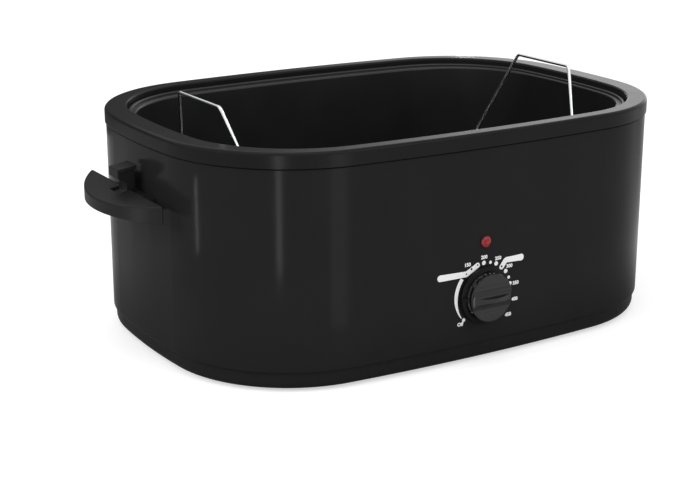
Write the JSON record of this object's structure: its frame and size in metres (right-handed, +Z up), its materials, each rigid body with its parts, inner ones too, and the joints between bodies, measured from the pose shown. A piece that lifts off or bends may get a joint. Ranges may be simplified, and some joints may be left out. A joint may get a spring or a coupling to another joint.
{
  "type": "electric roaster oven",
  "caption": "Bowed rectangular countertop roaster with a lift-out pan and wire rack, side grips with lid hooks, a dial knob and a pilot light; no lid.",
  "frame": {"origin": "on the resting plane, under the middle of the body", "axes": "+X along the length, to the right as the cook sees it; -Y toward the cook and the dial; +Z up"},
  "size_m": [0.584, 0.3835, 0.2266],
  "materials": {
    "body_paint": "satin-gloss black paint",
    "collar_paint": "gloss black paint",
    "base_paint": "satin black paint",
    "foot_rubber": "matt black",
    "screw_steel": "zinc plated",
    "well_enamel": "baked enamel",
    "heater_steel": "heat-stained steel",
    "ceramic_white": "unglazed",
    "glass_fibre": "felted glass fibre",
    "shield_aluminium": "mill finish",
    "bracket_steel": "zinc plated sheet",
    "ceramic_brown": "unglazed",
    "contact_brass": "plain",
    "lens_red": "clear red",
    "lamp_glass": "neon bulb",
    "gland_rubber": "matt black",
    "handle_plastic": "fine matt black",
    "knob_plastic": "satin-gloss black",
    "shaft_steel": "turned",
    "pan_coating": "non-stick coating",
    "rack_chrome": "bright plated wire",
    "print_white": "screen print"
  },
  "bodies": {
    "housing": {"outer_wrap": "body_paint", "top_collar": "collar_paint", "base_tray": "base_paint", "feet": "foot_rubber", "base_screws": "screw_steel", "inner_well": "well_enamel", "heater_band": "heater_steel", "heater_clamp": "screw_steel", "heater_terminals": "ceramic_white", "insulation_blanket": "glass_fibre", "heat_shield": "shield_aluminium", "centre_spacer": "bracket_steel", "centre_bolt": "screw_steel", "thermostat_bracket": "bracket_steel", "thermostat_screws": "screw_steel", "thermostat_body": "ceramic_brown", "thermostat_tabs": "contact_brass", "sensing_strip": "contact_brass", "pilot_lens": "lens_red", "pilot_clip": "bracket_steel", "pilot_lamp": "lamp_glass", "cord_gland": "gland_rubber", "terminal_block": "ceramic_white", "handle_left": "handle_plastic", "handle_right": "handle_plastic", "backing_plate_left": "bracket_steel", "backing_plate_right": "bracket_steel", "handle_screws_left": "screw_steel", "handle_screws_right": "screw_steel"},
    "knob": {"control_knob": "knob_plastic", "thermostat_shaft": "shaft_steel"},
    "pan": {"roasting_pan": "pan_coating"},
    "rack": {"roasting_rack": "rack_chrome", "lift_handle_left": "rack_chrome", "lift_handle_right": "rack_chrome"}
  },
  "joints": [
    {"name": "knob_turn", "type": "hinge", "parent": "housing", "child": "knob", "pos_m": [-0.0025, -0.175, 0.062], "axis": [0, -1, 0], "range_deg": [-223, 43]},
    {"name": "pan_lift", "type": "slide", "parent": "housing", "child": "pan", "axis": [0, 0, 1], "range_m": [0, 0.25]},
    {"name": "rack_lift", "type": "slide", "parent": "pan", "child": "rack", "axis": [0, 0, 1], "range_m": [0, 0.25]}
  ]
}
